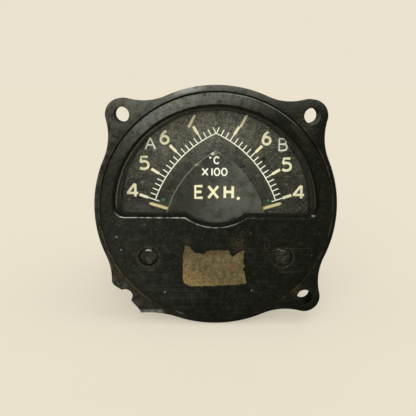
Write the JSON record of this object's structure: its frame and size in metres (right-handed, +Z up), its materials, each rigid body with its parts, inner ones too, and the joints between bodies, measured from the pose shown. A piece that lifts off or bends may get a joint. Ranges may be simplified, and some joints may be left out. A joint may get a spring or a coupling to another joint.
{
  "type": "exhaust gas temperature gauge",
  "caption": "Panel gauge with two crossed pointers on arc scales behind a half-moon window, eared flange, zero screws and rear terminals.",
  "frame": {"origin": "centre of the flange's rear seating face, on the case axis", "axes": "-Y is the way the dial faces, +Y runs back along the case to the terminals, +Z is up on the dial, +X is to the reader's right"},
  "size_m": [0.0826, 0.0832, 0.0826],
  "materials": {
    "case_moulding": "black-olive phenolic moulding, rubbed and dusty, greyer on its edges",
    "cover_moulding": "black-olive phenolic moulding with a soft sheen and dust in its corners",
    "window_glass": "clear flat glass with fine dust",
    "black_rubber": "black rubber",
    "dark_metal": "dull dark paint on a pressed frame",
    "screw_steel": "dull plated steel, turned",
    "label_paper": "torn khaki paper with rust and dirt specks",
    "dial_black": "matt black-olive dial paint with fine scratches and dust",
    "arch_black": "matt dark paint, worn to bare metal along its edges",
    "brass": "turned brass, slightly dull",
    "aluminium_plate": "milled aluminium",
    "soft_iron": "ground soft iron, oiled",
    "magnet_steel": "red-brown painted magnet steel",
    "hairspring_bronze": "phosphor bronze strip",
    "staff_steel": "polished steel",
    "copper_winding": "varnished copper wire",
    "pointer_paint": "aged luminous cream paint on aluminium",
    "zero_screw_metal": "blackened screw worn bright in its slot",
    "board_laminate": "brown paper laminate",
    "bobbin_wire": "varnished resistance wire on a moulded spool",
    "terminal_metal": "plated terminal metal, dull",
    "bush_moulding": "dark brown phenolic",
    "wire_sleeve": "varnished woven sleeve, dark red"
  },
  "bodies": {
    "instrument": {"case": "case_moulding", "flange": "case_moulding", "front_cover": "cover_moulding", "window_glass": "window_glass", "glass_gasket": "black_rubber", "glass_retainer": "dark_metal", "cover_seal": "black_rubber", "cover_screws": "screw_steel", "paper_label": "label_paper", "dial_plate": "dial_black", "dial_pillars": "brass", "dial_screws": "screw_steel", "arch_plate": "arch_black", "arch_pillars": "brass", "bridge_pillars": "brass", "arch_screws": "screw_steel", "pointer_stops": "brass", "chassis_plate": "aluminium_plate", "chassis_screws": "screw_steel", "pole_screws": "screw_steel", "terminal_board": "board_laminate", "resistor_bobbins": "bobbin_wire", "terminal_studs": "terminal_metal", "terminal_nuts": "terminal_metal", "terminal_bushes": "bush_moulding", "lead_wires": "wire_sleeve", "pole_pieces_a": "soft_iron", "pole_pieces_b": "soft_iron", "magnet_a": "magnet_steel", "magnet_b": "magnet_steel", "core_a": "soft_iron", "core_b": "soft_iron", "core_bracket_a": "brass", "core_bracket_b": "brass", "front_bridge_a": "aluminium_plate", "front_bridge_b": "aluminium_plate", "front_jewel_a": "brass", "front_jewel_b": "brass", "rear_bridge_a": "aluminium_plate", "rear_bridge_b": "aluminium_plate", "rear_jewel_a": "brass", "rear_jewel_b": "brass", "rear_hairspring_a": "hairspring_bronze", "rear_hairspring_b": "hairspring_bronze"},
    "movement_a": {"staff_a": "staff_steel", "coil_a": "copper_winding", "pointer_a": "pointer_paint", "balance_weights_a": "brass"},
    "zero_adjuster_a": {"zero_screw_a": "zero_screw_metal", "zero_clip_a": "screw_steel"},
    "index_arm_a": {"zero_arm_a": "brass", "front_hairspring_a": "hairspring_bronze"},
    "movement_b": {"staff_b": "staff_steel", "coil_b": "copper_winding", "pointer_b": "pointer_paint", "balance_weights_b": "brass"},
    "zero_adjuster_b": {"zero_screw_b": "zero_screw_metal", "zero_clip_b": "screw_steel"},
    "index_arm_b": {"zero_arm_b": "brass", "front_hairspring_b": "hairspring_bronze"}
  },
  "joints": [
    {"name": "pointer_a_swing", "type": "hinge", "parent": "instrument", "child": "movement_a", "pos_m": [0.0166, -0.0012, -0.0112], "axis": [0, 1, 0], "range_deg": [0, 51], "stiffness_Nm_per_rad": 0.000002, "springref_deg": -17.19},
    {"name": "zero_screw_a_turn", "type": "hinge", "parent": "instrument", "child": "zero_adjuster_a", "pos_m": [0.02295, -0.0072, -0.0165], "axis": [0, -1, 0], "range_deg": [-50, 50]},
    {"name": "zero_arm_a_turn", "type": "hinge", "parent": "instrument", "child": "index_arm_a", "pos_m": [0.0166, -0.0047, -0.0112], "axis": [0, -1, 0], "range_deg": [-6, 6]},
    {"name": "pointer_b_swing", "type": "hinge", "parent": "instrument", "child": "movement_b", "pos_m": [-0.0166, -0.0012, -0.0112], "axis": [0, -1, 0], "range_deg": [0, 51], "stiffness_Nm_per_rad": 0.000002, "springref_deg": -17.19},
    {"name": "zero_screw_b_turn", "type": "hinge", "parent": "instrument", "child": "zero_adjuster_b", "pos_m": [-0.02295, -0.0072, -0.0165], "axis": [0, -1, 0], "range_deg": [-50, 50]},
    {"name": "zero_arm_b_turn", "type": "hinge", "parent": "instrument", "child": "index_arm_b", "pos_m": [-0.0166, -0.0047, -0.0112], "axis": [0, -1, 0], "range_deg": [-6, 6]}
  ],
  "couplings": [
    {"joint": "zero_arm_a_turn", "follows": "zero_screw_a_turn", "ratio": 0.0981},
    {"joint": "zero_arm_b_turn", "follows": "zero_screw_b_turn", "ratio": 0.0981}
  ]
}
